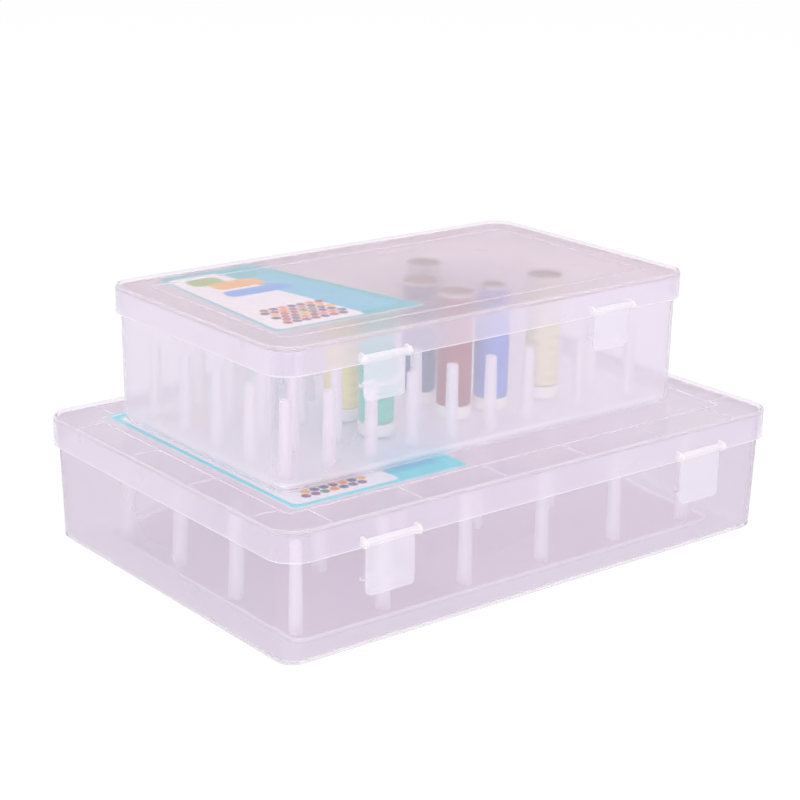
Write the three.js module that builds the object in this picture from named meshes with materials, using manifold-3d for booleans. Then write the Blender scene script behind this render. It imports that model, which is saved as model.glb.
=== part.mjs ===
// A stacked pair of clear thread cases: a large flat case below, a smaller deep case on its lid.
// Each case is a drafted box, a skirted lid on two clip hinges, two front latches,
// a drop-in tray of pegs and a printed card under the lid. Seven thread spools stand on the
// upper pegs. Millimetres, +Z up, latches towards -Y, origin at the middle of the footprint.

import * as THREE from 'three';
import { mergeVertices } from 'three/addons/utils/BufferGeometryUtils.js';
import Module from 'manifold-3d';

const wasm = await Module();
wasm.setup();

// ---------------------------------------------------------------- driving dimensions

const CLEARANCE = 0.3; // gap left where one piece sits on or beside another
const WELD = 0.4; // how far a rib, lug or peg is sunk into the wall that carries it

const CORNER_STEPS = 5; // facets in each rounded corner
const ROUND_STEPS = 8; // facets in half a turn of the hinge and latch rounds
const PEG_STEPS = 8; // facets round a peg
const SPOOL_STEPS = 16; // facets round a spool

const WALL = 1.6; // side wall of a case
const FLOOR = 1.6; // floor of a case
const LID_WALL = 1.5; // skirt and top panel of a lid
const LID_PLAY = 1.2; // gap between lid skirt and case wall
const LID_RIM = { height: 1.2, width: 2.4, chamfer: 0.8 }; // raised edge round the lid top
const BEAD = { width: 1.6, height: 0.6 }; // raised lines moulded on the lid top
const FOOT_FILLET = 3; // rounding under the case walls
const FLOOR_FILLET = 2.5; // rounding between floor and wall inside

const TRAY_THICKNESS = 1.2; // plate of the peg tray
const TRAY_RIB = { width: 1.2, height: 2.4 }; // rib on the floor that keeps the tray in place
const CARD_THICKNESS = 0.5;

const HINGE = {
  barRadius: 2.0,
  play: 0.35, // between the bar and its clip
  clipWall: 1.95,
  clipWidth: 14,
  lugWidth: 3,
  lugDrop: 8, // how far a lug reaches down the wall
  lugTop: 0.6, // top of a lug below the lid skirt
  reach: 2.5, // hinge axis behind the back face of the lid
  webTop: 7, // where the web of the clip ends on the skirt
  webStep: 1, // web behind the inner face of the clip
};
HINGE.clipBore = HINGE.barRadius + HINGE.play;
HINGE.clipRadius = HINGE.clipBore + HINGE.clipWall;

const LATCH = {
  reach: 2.6, // pivot in front of the lid skirt
  rise: 3.6, // pivot above the lower edge of the skirt
  knuckleRadius: 2.2,
  pinRadius: 1.2,
  pinPlay: 0.3,
  lugRadius: 2.6,
  lugWidth: 2.45,
  plate: 1.7, // thickness of the flap
  standoff: 0.6, // flap clear of the skirt
  lip: 1.2, // how far the finger lip turns out
  lipHeight: 4,
  hookDepth: 2.2,
  hookHeight: 3.2,
  hookRise: 3, // hook above the end of the flap
  catchHeight: 2.6,
  catchSetback: 0.2, // catch stops this far behind the plane of the skirt
};

const LOWER = {
  name: 'lower',
  length: 350,
  depth: 239,
  corner: 16,
  height: 74,
  skirt: 17.4,
  footInset: 4.5, // how far the foot of the case stands inside the lid outline
  trayInset: 25,
  trayCorner: 6,
  pegs: { columns: 6, rows: 4, left: 5.5, right: 13.5, front: 8.6, back: 13.5 }, // from the edges
  peg: { foot: 4.2, top: 3.45, bore: 2.2, boreDepth: 9, height: 52.5 },
  panel: { side: 19.6, front: 25.5, corner: 4 }, // raised line on the lid top
  borderRibs: { along: 6, across: 4, pitch: 57 }, // short ribs from the raised line to the lid edge
  latchInset: 63.7, // middle of a latch from the end of the lid
  flapWidth: 31,
  flapLength: 29, // from the pivot down
  hingeInset: 65,
};

const UPPER = {
  name: 'upper',
  length: 291,
  depth: 169,
  corner: 15.5,
  height: 79,
  skirt: 16,
  footInset: 3.7,
  trayInset: 9.5,
  trayCorner: 6,
  pegs: { columns: 9, rows: 5, left: 6.9, right: 20.1, front: 9, back: 15.4, wide: [39.3, 39.3] },
  peg: { foot: 3.8, top: 3.15, bore: 2.2, boreDepth: 7, height: 45.5 },
  panel: { side: 17, front: 19.5, corner: 4 },
  latchInset: 65,
  flapWidth: 26.5,
  flapLength: 23.1,
  hingeInset: 55.5,
};

const BACK_STEP = 26.9; // back of the upper lid in front of the back of the lower lid
const SIDE_STEP = 2.3; // middle of the upper case to the left of the middle of the lower one

const SPOOL = {
  headroom: 1.8, // between the spool and the lid panel
  footHeight: 7,
  footRadius: 10.4,
  headHeight: 3,
  headRadius: 10,
  chamfer: 0.8,
  tubeRadius: 6.6,
  borePlay: 0.4, // between the bore and the foot of the peg
  crown: 9, // solid end above the bore
  dishRadius: 8.4,
  dishDepth: 1,
  threadRadius: 10,
  threadShoulder: 1.2,
};

// Where each spool stands: column and row of the upper tray, counted from the front left peg.
const SPOOLS = [
  { name: 'teal', column: 3, row: 1, color: 0x2f9e8f },
  { name: 'crimson', column: 5, row: 1, color: 0xb02552 },
  { name: 'blue', column: 6, row: 1, color: 0x3f57b5 },
  { name: 'cream', column: 7, row: 1, color: 0xe9dfae },
  { name: 'yellow', column: 3, row: 2, color: 0xf0cf45 },
  { name: 'slate', column: 5, row: 2, color: 0x474f70 },
  { name: 'grey', column: 6, row: 3, color: 0x9a8a92 },
];

// Cards, from the front left corner of the lid. `lean` and `slant` are how far the left and right
// edges run in towards the back.
const LOWER_CARD = { left: 28.5, front: 32.3, width: 115.5, depth: 186, lean: 0, slant: 0, corner: 3 };
const UPPER_CARD = { left: 22, front: 34.5, width: 99, depth: 128.5, lean: 8, slant: 26, corner: 3 };

const MATERIALS = {
  case: { color: 0xe6dbe8, roughness: 0.35 },
  lid: { color: 0xeee6f0, roughness: 0.25 },
  latch: { color: 0xf6f2f8, roughness: 0.4 },
  tray: { color: 0xf0eaf2, roughness: 0.4 },
  card: { color: 0xdff3f4, roughness: 0.5 },
  spool: { color: 0xf4f1ec, roughness: 0.35 },
};

// ---------------------------------------------------------------- geometry helpers

const group = new THREE.Group();

// Corner-rounded rectangle `inset` inside a rectangle of the given length, depth and corner.
function ring(rect, inset, z) {
  const radius = rect.corner - inset;
  const points = [];
  const corners = [[1, -1, -90], [1, 1, 0], [-1, 1, 90], [-1, -1, 180]];
  for (const [sideX, sideY, start] of corners) {
    const x = sideX * (rect.length / 2 - rect.corner);
    const y = sideY * (rect.depth / 2 - rect.corner);
    for (let step = 0; step <= CORNER_STEPS; step += 1) {
      const angle = THREE.MathUtils.degToRad(start + (90 * step) / CORNER_STEPS);
      points.push(x + radius * Math.cos(angle), y + radius * Math.sin(angle), z);
    }
  }
  return points;
}

// Carries a wall section, a list of [inset, z], round the rectangle. An open section is closed
// by a flat face over its first ring, facing down, and one over its last, facing up.
function sweep(rect, section, closed = false) {
  const positions = section.flatMap(([inset, z]) => ring(rect, inset, z));
  const count = 4 * (CORNER_STEPS + 1);
  const spans = closed ? section.length : section.length - 1;
  const indices = [];
  for (let span = 0; span < spans; span += 1) {
    const low = span * count;
    const high = ((span + 1) % section.length) * count;
    for (let i = 0; i < count; i += 1) {
      const j = (i + 1) % count;
      indices.push(low + i, low + j, high + j, low + i, high + j, high + i);
    }
  }
  if (!closed) {
    const last = (section.length - 1) * count;
    for (let i = 1; i < count - 1; i += 1) {
      indices.push(0, i + 1, i, last, last + i, last + i + 1);
    }
  }
  const geometry = new THREE.BufferGeometry();
  geometry.setAttribute('position', new THREE.Float32BufferAttribute(positions, 3));
  geometry.setIndex(indices);
  return geometry;
}

// Shares the vertices, drops empty triangles and turns the faces outwards.
function welded(source) {
  const bare = source.clone();
  bare.deleteAttribute('normal');
  bare.deleteAttribute('uv');
  const geometry = mergeVertices(bare, 1e-4);
  const position = geometry.getAttribute('position');
  const a = new THREE.Vector3();
  const b = new THREE.Vector3();
  const c = new THREE.Vector3();
  const faces = [];
  let volume = 0;
  for (let i = 0; i < geometry.index.count; i += 3) {
    const [p, q, r] = [0, 1, 2].map((corner) => geometry.index.getX(i + corner));
    if (p !== q && q !== r && r !== p) {
      faces.push([p, q, r]);
      a.fromBufferAttribute(position, p);
      b.fromBufferAttribute(position, q);
      c.fromBufferAttribute(position, r);
      volume += a.dot(b.cross(c));
    }
  }
  geometry.setIndex(faces.flatMap(([p, q, r]) => (volume < 0 ? [p, r, q] : [p, q, r])));
  return geometry;
}

function toManifold(source) {
  const geometry = welded(source);
  return new wasm.Manifold(new wasm.Mesh({
    numProp: 3,
    vertProperties: Float32Array.from(geometry.getAttribute('position').array),
    triVerts: Uint32Array.from(geometry.index.array),
  }));
}

function joined(pieces) {
  const whole = pieces.map(toManifold).reduce((sum, piece) => sum.add(piece));
  const mesh = whole.getMesh();
  const geometry = new THREE.BufferGeometry();
  geometry.setAttribute('position', new THREE.BufferAttribute(mesh.vertProperties, 3));
  geometry.setIndex(new THREE.BufferAttribute(mesh.triVerts, 1));
  return geometry;
}

// Solid of revolution about Z from [radius, height] points.
function turned(profile, steps) {
  const points = profile.map(([radius, height]) => new THREE.Vector2(radius, height));
  return new THREE.LatheGeometry(points, steps).rotateX(Math.PI / 2);
}

// A section drawn as [outward, up] and extruded along X, centred on x. `facing` is -1 for the
// front of the case and +1 for the back; `at` is where the section's origin lies.
function alongX(shape, width, x, at, facing) {
  const geometry = new THREE.ExtrudeGeometry(shape, {
    depth: width,
    bevelEnabled: false,
    curveSegments: ROUND_STEPS,
  });
  geometry.translate(0, 0, -width / 2);
  const outward = new THREE.Vector3(0, facing, 0);
  const up = new THREE.Vector3(0, 0, 1);
  const side = new THREE.Vector3().crossVectors(outward, up);
  geometry.applyMatrix4(new THREE.Matrix4().makeBasis(outward, up, side));
  return geometry.translate(x, at.y, at.z);
}

function outline(points) {
  return new THREE.Shape(points.map(([x, y]) => new THREE.Vector2(x, y)));
}

function box(sizeX, sizeY, sizeZ, x, y, z) {
  return new THREE.BoxGeometry(sizeX, sizeY, sizeZ).translate(x, y, z);
}

function place(name, geometry, finish, parent) {
  const material = new THREE.MeshStandardMaterial({ metalness: 0, ...finish });
  const mesh = new THREE.Mesh(welded(geometry), material);
  mesh.name = name;
  mesh.geometry.computeVertexNormals();
  parent.add(mesh);
  return mesh;
}

// ---------------------------------------------------------------- sizes worked out per case

// Heights count from the foot of the case; the lid rests just over the case rim.
function sizesOf(spec) {
  const panelTop = spec.height - LID_RIM.height;
  const panelUnder = panelTop - LID_WALL;
  const rimTop = panelUnder - CLEARANCE;
  const rimInset = LID_WALL + LID_PLAY;
  const skirtEnd = spec.height - spec.skirt;
  const trayBottom = FLOOR + CLEARANCE;
  const wallInset = (z) => rimInset + ((spec.footInset - rimInset) * (rimTop - z)) / rimTop;
  return {
    panelTop,
    panelUnder,
    rimTop,
    rimInset,
    skirtEnd,
    trayBottom,
    trayTop: trayBottom + TRAY_THICKNESS,
    wallInset,
    front: -spec.depth / 2,
    back: spec.depth / 2,
    hinge: { y: spec.depth / 2 + HINGE.reach, z: skirtEnd },
    pivot: { y: -spec.depth / 2 - LATCH.reach, z: skirtEnd + LATCH.rise },
  };
}

// Pegs are spread evenly between the first and last row and column. `wide` lists the gaps at the
// right end of the tray that are wider than the even ones.
function pegCentre(spec, column, row) {
  const { columns, rows, left, right, front, back, wide = [] } = spec.pegs;
  const tray = trayRect(spec);
  const sum = (gaps) => gaps.reduce((total, gap) => total + gap, 0);
  const evenGaps = columns - 1 - wide.length;
  const evenGap = (tray.length - left - right - sum(wide)) / evenGaps;
  const wideBefore = sum(wide.slice(0, Math.max(0, column - evenGaps)));
  const x = -tray.length / 2 + left + Math.min(column, evenGaps) * evenGap + wideBefore;
  const y = -tray.depth / 2 + front + (row * (tray.depth - front - back)) / (rows - 1);
  return { x, y };
}

const bothSides = (spec, inset) => [inset - spec.length / 2, spec.length / 2 - inset];

// ---------------------------------------------------------------- case, lid, tray, card

// Drafted box with the tray rib on its floor, hinge bars behind and latch catches in front.
function caseGeometry(spec) {
  const s = sizesOf(spec);
  const inner = spec.footInset + WALL;
  const shell = sweep(spec, [
    [spec.footInset + FOOT_FILLET, 0],
    [spec.footInset + FOOT_FILLET / 3, FOOT_FILLET / 3],
    [spec.footInset, FOOT_FILLET],
    [s.rimInset, s.rimTop],
    [s.rimInset + WALL, s.rimTop],
    [inner, FLOOR + FLOOR_FILLET],
    [inner + FLOOR_FILLET, FLOOR],
  ]);
  const ribOuter = -CLEARANCE - TRAY_RIB.width;
  const rib = sweep(trayRect(spec), [
    [ribOuter, FLOOR - WELD],
    [ribOuter, FLOOR + TRAY_RIB.height],
    [-CLEARANCE, FLOOR + TRAY_RIB.height],
    [-CLEARANCE, FLOOR - WELD],
  ], true);
  const parts = [shell, rib];
  for (const x of bothSides(spec, spec.hingeInset)) {
    parts.push(...hingeBar(spec, x));
  }
  for (const x of bothSides(spec, spec.latchInset)) {
    parts.push(latchCatch(spec, x));
  }
  return joined(parts);
}

// Skirted lid: raised edge, raised panel line, hinge clips behind and latch lugs in front.
function lidGeometry(spec) {
  const s = sizesOf(spec);
  const parts = [sweep(spec, [
    [LID_WALL, s.panelUnder],
    [LID_WALL, s.skirtEnd],
    [0, s.skirtEnd],
    [0, spec.height - LID_RIM.chamfer],
    [LID_RIM.chamfer, spec.height],
    [LID_RIM.width, spec.height],
    [LID_RIM.width + WELD, s.panelTop],
  ])];
  const panel = {
    length: spec.length - 2 * spec.panel.side,
    depth: spec.depth - 2 * spec.panel.front,
    corner: spec.panel.corner,
  };
  parts.push(sweep(panel, [
    [0, s.panelTop - WELD],
    [0, s.panelTop + BEAD.height],
    [BEAD.width, s.panelTop + BEAD.height],
    [BEAD.width, s.panelTop - WELD],
  ], true));
  if (spec.borderRibs) {
    parts.push(...lidRibs(spec));
  }
  for (const x of bothSides(spec, spec.hingeInset)) {
    parts.push(...hingeClip(spec, x));
  }
  for (const x of bothSides(spec, spec.latchInset)) {
    parts.push(...latchLugs(spec, x));
  }
  return joined(parts);
}

// Short ribs across the border of the lid, evenly spaced about its middle.
function lidRibs(spec) {
  const s = sizesOf(spec);
  const start = LID_RIM.width - WELD;
  const reach = spec.panel.front + BEAD.width / 2 - start;
  const sideReach = spec.panel.side + BEAD.width / 2 - start;
  const height = BEAD.height + WELD;
  const z = s.panelTop + (BEAD.height - WELD) / 2;
  const ribs = [];
  const { along, across, pitch } = spec.borderRibs;
  for (let i = 0; i < along; i += 1) {
    const x = (i - (along - 1) / 2) * pitch;
    for (const side of [-1, 1]) {
      ribs.push(box(BEAD.width, reach, height, x, side * (spec.depth / 2 - start - reach / 2), z));
    }
  }
  for (let i = 0; i < across; i += 1) {
    const y = (i - (across - 1) / 2) * pitch;
    for (const side of [-1, 1]) {
      const middle = side * (spec.length / 2 - start - sideReach / 2);
      ribs.push(box(sideReach, BEAD.width, height, middle, y, z));
    }
  }
  return ribs;
}

function trayRect(spec) {
  return {
    length: spec.length - 2 * spec.trayInset,
    depth: spec.depth - 2 * spec.trayInset,
    corner: spec.trayCorner,
  };
}

// Plate with a tapered peg at every place, open at the top of each peg.
function trayGeometry(spec) {
  const s = sizesOf(spec);
  const { foot, top, bore, boreDepth, height } = spec.peg;
  const parts = [sweep(trayRect(spec), [[0, s.trayBottom], [0, s.trayTop]])];
  for (let row = 0; row < spec.pegs.rows; row += 1) {
    for (let column = 0; column < spec.pegs.columns; column += 1) {
      const { x, y } = pegCentre(spec, column, row);
      parts.push(turned([
        [0, s.trayTop - WELD],
        [foot, s.trayTop - WELD],
        [top, height],
        [bore, height],
        [bore, height - boreDepth],
        [0, height - boreDepth],
      ], PEG_STEPS).translate(x, y, 0));
    }
  }
  return joined(parts);
}

// Card under the lid panel.
function cardGeometry(spec, card) {
  const s = sizesOf(spec);
  const left = card.left - spec.length / 2;
  const front = card.front - spec.depth / 2;
  const right = left + card.width;
  const back = front + card.depth;
  const r = card.corner;
  const run = (skew) => (skew * r) / card.depth; // skew over one corner
  const shape = new THREE.Shape();
  shape.moveTo(left + r, front);
  shape.lineTo(right - r, front);
  shape.quadraticCurveTo(right, front, right - run(card.slant), front + r);
  shape.lineTo(right - card.slant + run(card.slant), back - r);
  shape.quadraticCurveTo(right - card.slant, back, right - card.slant - r, back);
  shape.lineTo(left + card.lean + r, back);
  shape.quadraticCurveTo(left + card.lean, back, left + card.lean - run(card.lean), back - r);
  shape.lineTo(left + run(card.lean), front + r);
  shape.quadraticCurveTo(left, front, left + r, front);
  const geometry = new THREE.ExtrudeGeometry(shape, {
    depth: CARD_THICKNESS,
    bevelEnabled: false,
    curveSegments: 4,
  });
  return geometry.translate(0, 0, s.panelUnder - CLEARANCE - CARD_THICKNESS);
}

// ---------------------------------------------------------------- hinge

// A round bar between two lugs on the back wall of the case.
function hingeBar(spec, x) {
  const s = sizesOf(spec);
  const { barRadius, clipWidth, lugWidth, lugDrop, lugTop, reach } = HINGE;
  const wall = -(reach + s.wallInset(s.skirtEnd) + WELD);
  const foot = -(reach + s.wallInset(s.skirtEnd - lugDrop) + WELD);
  const tangent = -Math.sqrt(barRadius ** 2 - lugTop ** 2);
  const lug = new THREE.Shape();
  lug.moveTo(wall, -lugTop);
  lug.lineTo(foot, -lugDrop);
  lug.lineTo(0, -barRadius);
  lug.absarc(0, 0, barRadius, -Math.PI / 2, Math.PI + Math.atan2(lugTop, -tangent), false);
  const bar = new THREE.Shape();
  bar.absarc(0, 0, barRadius, 0, 2 * Math.PI, false);
  const lugCentre = clipWidth / 2 + CLEARANCE + lugWidth / 2;
  const barLength = 2 * lugCentre;
  return [
    alongX(lug, lugWidth, x - lugCentre, s.hinge, 1),
    alongX(lug, lugWidth, x + lugCentre, s.hinge, 1),
    alongX(bar, barLength, x, s.hinge, 1),
  ];
}

// The open clip on the lid that snaps over the bar, and the web that joins it to the skirt.
function hingeClip(spec, x) {
  const s = sizesOf(spec);
  const { clipRadius, clipBore, clipWidth, reach, webTop, webStep } = HINGE;
  const mouth = Math.PI / 4;
  const start = -Math.PI / 2 + mouth;
  const end = (3 * Math.PI) / 2 - mouth;
  const clip = new THREE.Shape();
  clip.absarc(0, 0, clipRadius, start, end, false);
  clip.absarc(0, 0, clipBore, end, start, true);
  const web = outline([
    [-reach - LID_WALL / 2, clipBore + WELD],
    [clipBore - webStep, clipBore + WELD],
    [-reach + WELD, webTop],
    [-reach - LID_WALL / 2, webTop],
  ]);
  return [alongX(clip, clipWidth, x, s.hinge, 1), alongX(web, clipWidth, x, s.hinge, 1)];
}

// ---------------------------------------------------------------- latch

// Heights on the latch, counted from its pivot.
function latchLevels(spec) {
  const flapEnd = -spec.flapLength;
  const hookTop = flapEnd + LATCH.hookRise + LATCH.hookHeight;
  return { flapEnd, hookTop, catchBottom: hookTop + CLEARANCE };
}

// Two ears on the skirt, each with a hole for a latch pin.
function latchLugs(spec, x) {
  const s = sizesOf(spec);
  const { reach, lugRadius, lugWidth, pinRadius, pinPlay } = LATCH;
  const skirt = -reach - WELD;
  const lug = new THREE.Shape();
  lug.moveTo(skirt, lugRadius + WELD);
  lug.lineTo(skirt, -lugRadius);
  lug.lineTo(0, -lugRadius);
  lug.absarc(0, 0, lugRadius, -Math.PI / 2, Math.PI / 2, false);
  const hole = new THREE.Path();
  hole.absarc(0, 0, pinRadius + pinPlay, 0, 2 * Math.PI, true);
  lug.holes.push(hole);
  const offset = spec.flapWidth / 2 + CLEARANCE + lugWidth / 2;
  return [-offset, offset].map((side) => alongX(lug, lugWidth, x + side, s.pivot, -1));
}

// Ledge on the case wall that the hook of the latch holds.
function latchCatch(spec, x) {
  const s = sizesOf(spec);
  const bottom = latchLevels(spec).catchBottom;
  const wall = -LATCH.reach - s.wallInset(s.pivot.z + bottom) - WELD;
  const nose = -LATCH.reach - LATCH.catchSetback;
  const top = bottom + LATCH.catchHeight;
  const section = outline([
    [wall, bottom],
    [nose, bottom],
    [nose, bottom + LATCH.catchHeight / 3],
    [wall + WELD, top],
    [wall, top],
  ]);
  return alongX(section, spec.flapWidth, x, s.pivot, -1);
}

// Knuckle, flap with a finger lip, inner hook, and a pin at each end.
function latchGeometry(spec, x) {
  const s = sizesOf(spec);
  const { reach, knuckleRadius, pinRadius, plate, standoff, lip, lipHeight } = LATCH;
  const { hookDepth, hookHeight, hookRise, lugWidth } = LATCH;
  const { flapEnd } = latchLevels(spec);
  const inner = standoff - reach;
  const outer = inner + plate;
  const hookFoot = flapEnd + hookRise;
  const flap = outline([
    [outer, 0],
    [inner, 0],
    [inner, hookFoot + hookHeight],
    [inner - hookDepth, hookFoot + hookHeight],
    [inner - hookDepth, hookFoot + hookHeight / 2],
    [inner, hookFoot],
    [inner + lip, flapEnd],
    [outer + lip, flapEnd],
    [outer, flapEnd + lipHeight],
  ]);
  const knuckle = new THREE.Shape();
  knuckle.absarc(0, 0, knuckleRadius, 0, 2 * Math.PI, false);
  const pin = new THREE.Shape();
  pin.absarc(0, 0, pinRadius, 0, 2 * Math.PI, false);
  const pinLength = spec.flapWidth + 2 * (CLEARANCE + lugWidth);
  return joined([
    alongX(flap, spec.flapWidth, x, s.pivot, -1),
    alongX(knuckle, spec.flapWidth, x, s.pivot, -1),
    alongX(pin, pinLength, x, s.pivot, -1),
  ]);
}

// ---------------------------------------------------------------- spool

// A spool stands on the upper tray and ends just under the lid.
const spoolFoot = sizesOf(UPPER).trayTop + CLEARANCE;
const spoolHeight = sizesOf(UPPER).panelUnder - SPOOL.headroom - spoolFoot;

function spoolCore() {
  const { footHeight, footRadius, headHeight, headRadius, chamfer, crown } = SPOOL;
  const { tubeRadius, borePlay, dishRadius, dishDepth } = SPOOL;
  const height = spoolHeight;
  const bore = UPPER.peg.foot + borePlay;
  const boreDepth = height - crown;
  return turned([
    [0, boreDepth],
    [bore, boreDepth],
    [bore, 0],
    [footRadius - chamfer, 0],
    [footRadius, chamfer],
    [footRadius, footHeight],
    [tubeRadius, footHeight],
    [tubeRadius, height - headHeight],
    [headRadius, height - headHeight],
    [headRadius, height],
    [dishRadius, height],
    [dishRadius - dishDepth, height - dishDepth],
    [0, height - dishDepth],
  ], SPOOL_STEPS);
}

function spoolThread() {
  const { footHeight, headHeight, tubeRadius, threadRadius, threadShoulder } = SPOOL;
  const inner = tubeRadius + CLEARANCE;
  const low = footHeight + CLEARANCE;
  const high = spoolHeight - headHeight - CLEARANCE;
  return turned([
    [inner, low],
    [threadRadius, low + threadShoulder],
    [threadRadius, high - threadShoulder],
    [inner, high],
    [inner, low],
  ], SPOOL_STEPS);
}

// ---------------------------------------------------------------- assembly

function addCase(spec, card, parent) {
  place(`${spec.name}_case`, caseGeometry(spec), MATERIALS.case, parent);
  place(`${spec.name}_peg_tray`, trayGeometry(spec), MATERIALS.tray, parent);
  place(`${spec.name}_lid`, lidGeometry(spec), MATERIALS.lid, parent);
  place(`${spec.name}_label_card`, cardGeometry(spec, card), MATERIALS.card, parent);
  const [left, right] = bothSides(spec, spec.latchInset);
  place(`${spec.name}_latch_left`, latchGeometry(spec, left), MATERIALS.latch, parent);
  place(`${spec.name}_latch_right`, latchGeometry(spec, right), MATERIALS.latch, parent);
}

// A case set on a lid stands on its panel, or on the raised line or edge that its foot covers.
function seatLevel(lid, load, offset) {
  const s = sizesOf(lid);
  const sideMargin = (lid.length - load.length) / 2 + load.footInset - Math.abs(offset.x);
  const endMargin = (lid.depth - load.depth) / 2 + load.footInset - Math.abs(offset.y);
  if (sideMargin > lid.panel.side + BEAD.width && endMargin > lid.panel.front + BEAD.width) {
    return s.panelTop;
  }
  const margin = Math.min(sideMargin, endMargin);
  return margin > LID_RIM.width + WELD ? s.panelTop + BEAD.height : lid.height;
}

// The hinge clips reach behind the lower lid and the latches in front of it; the origin lies
// midway between the two.
const foremost = LOWER.depth / 2 + LATCH.reach + LATCH.lugRadius;
const rearmost = LOWER.depth / 2 + HINGE.reach + HINGE.clipRadius;

const lowerGroup = new THREE.Group();
lowerGroup.position.set(0, (foremost - rearmost) / 2, 0);
group.add(lowerGroup);
addCase(LOWER, LOWER_CARD, lowerGroup);

const upperGroup = new THREE.Group();
const step = { x: -SIDE_STEP, y: sizesOf(LOWER).back - BACK_STEP - sizesOf(UPPER).back };
upperGroup.position.set(step.x, step.y, seatLevel(LOWER, UPPER, step) + CLEARANCE);
lowerGroup.add(upperGroup);
addCase(UPPER, UPPER_CARD, upperGroup);

for (const spool of SPOOLS) {
  const { x, y } = pegCentre(UPPER, spool.column, spool.row);
  const stand = new THREE.Group();
  stand.position.set(x, y, spoolFoot);
  upperGroup.add(stand);
  place(`spool_core_${spool.name}`, spoolCore(), MATERIALS.spool, stand);
  place(`thread_${spool.name}`, spoolThread(), { color: spool.color, roughness: 0.8 }, stand);
}

export default group;
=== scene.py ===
import math
import random
from types import SimpleNamespace

import bmesh
import bpy
from mathutils import Matrix, Vector


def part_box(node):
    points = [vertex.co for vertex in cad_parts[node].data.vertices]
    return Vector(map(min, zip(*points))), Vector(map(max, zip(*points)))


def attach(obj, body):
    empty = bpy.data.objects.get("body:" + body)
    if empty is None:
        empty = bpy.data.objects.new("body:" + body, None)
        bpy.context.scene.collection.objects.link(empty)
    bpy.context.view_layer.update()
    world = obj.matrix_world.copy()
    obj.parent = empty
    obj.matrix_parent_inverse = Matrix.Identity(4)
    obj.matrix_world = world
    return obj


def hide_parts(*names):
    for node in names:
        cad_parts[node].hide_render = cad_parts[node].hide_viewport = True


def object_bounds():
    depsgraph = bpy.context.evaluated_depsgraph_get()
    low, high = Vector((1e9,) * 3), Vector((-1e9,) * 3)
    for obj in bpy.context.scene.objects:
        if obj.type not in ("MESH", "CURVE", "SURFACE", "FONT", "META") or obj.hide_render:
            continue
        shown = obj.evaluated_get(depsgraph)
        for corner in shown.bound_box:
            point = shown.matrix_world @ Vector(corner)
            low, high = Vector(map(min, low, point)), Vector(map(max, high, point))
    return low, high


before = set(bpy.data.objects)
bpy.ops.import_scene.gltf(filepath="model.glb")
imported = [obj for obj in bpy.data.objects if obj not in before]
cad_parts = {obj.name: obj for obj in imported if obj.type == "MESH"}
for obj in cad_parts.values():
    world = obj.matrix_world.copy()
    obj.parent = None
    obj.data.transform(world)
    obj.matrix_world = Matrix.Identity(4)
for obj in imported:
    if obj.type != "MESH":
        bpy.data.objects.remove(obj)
cad_low, cad_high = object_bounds()

# ---------------------------------------------------------------- camera
# A long lens from the front left corner, a little above the lids, so that both
# fronts, both left ends and the top of the upper lid are in view.

MM = 0.001
VIEW_AZIMUTH = math.radians(-38.57)
VIEW_ELEVATION = math.radians(17.55)
VIEW_ROLL = math.radians(0.96)
VIEW_DISTANCE = 0.9885
VIEW_LENS = 90.44  # mm, on a 36 mm sensor
AIM_ACROSS = 68.25  # mm from the front left top corner of the set to the point aimed at
AIM_BEHIND = 3.76
AIM_BELOW = 21.47

aim = Vector(
    (cad_low.x + AIM_ACROSS * MM, cad_low.y + AIM_BEHIND * MM, cad_high.z - AIM_BELOW * MM)
)
backward = Vector(
    (
        math.sin(VIEW_AZIMUTH) * math.cos(VIEW_ELEVATION),
        -math.cos(VIEW_AZIMUTH) * math.cos(VIEW_ELEVATION),
        math.sin(VIEW_ELEVATION),
    )
)
level = Vector((0, 0, 1)).cross(backward).normalized()
upward = backward.cross(level)
rightward = level * math.cos(VIEW_ROLL) + upward * math.sin(VIEW_ROLL)
upward = backward.cross(rightward)
camera = bpy.data.objects.new("camera", bpy.data.cameras.new("camera"))
bpy.context.scene.collection.objects.link(camera)
camera.data.lens = VIEW_LENS
camera.data.clip_start = 0.05
camera.data.clip_end = 50
turn = Matrix((rightward, upward, backward)).transposed()
camera.matrix_world = Matrix.Translation(aim + backward * VIEW_DISTANCE) @ turn.to_4x4()
bpy.context.scene.camera = camera

# ---------------------------------------------------------------- case shells
# Two open-topped boxes, injection moulded in one piece from natural polypropylene and left
# unpainted. Each has drafted walls, a rounded foot, a low rib on its floor round the peg
# tray, two hinge bars moulded behind and two catches in front for the latches.

WALL = 1.6
FLOOR = 1.6
LID_WALL = 1.5
LID_PLAY = 1.2
LID_RIM_HEIGHT = 1.2
CLEARANCE = 0.3
WELD = 0.4  # how far a lug or rib is sunk into what carries it
FOOT_FILLET = 3.0
FLOOR_FILLET = 2.5
FOOT_RING = 4.2  # flat ring that the case stands on
FOOT_RECESS = 0.5
RIM_ROUND = 0.5
TRAY_RIB_WIDTH = 1.2
TRAY_RIB_HEIGHT = 2.4

HINGE_BAR = 2.0
HINGE_REACH = 2.5  # axis behind the back of the lid
HINGE_CLIP_WIDTH = 14.0
HINGE_LUG_WIDTH = 3.0
HINGE_LUG_DROP = 8.0
HINGE_LUG_TOP = 0.6

LATCH_REACH = 2.6  # pivot in front of the skirt
LATCH_RISE = 3.6  # pivot above the lower edge of the skirt
LATCH_LUG = 2.6
LATCH_HOOK_RISE = 3.0
LATCH_HOOK_HEIGHT = 3.2
CATCH_HEIGHT = 2.6
CATCH_SETBACK = 0.2
CATCH_BEVEL = 0.3

TO_BACK = 1
TO_FRONT = -1

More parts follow.
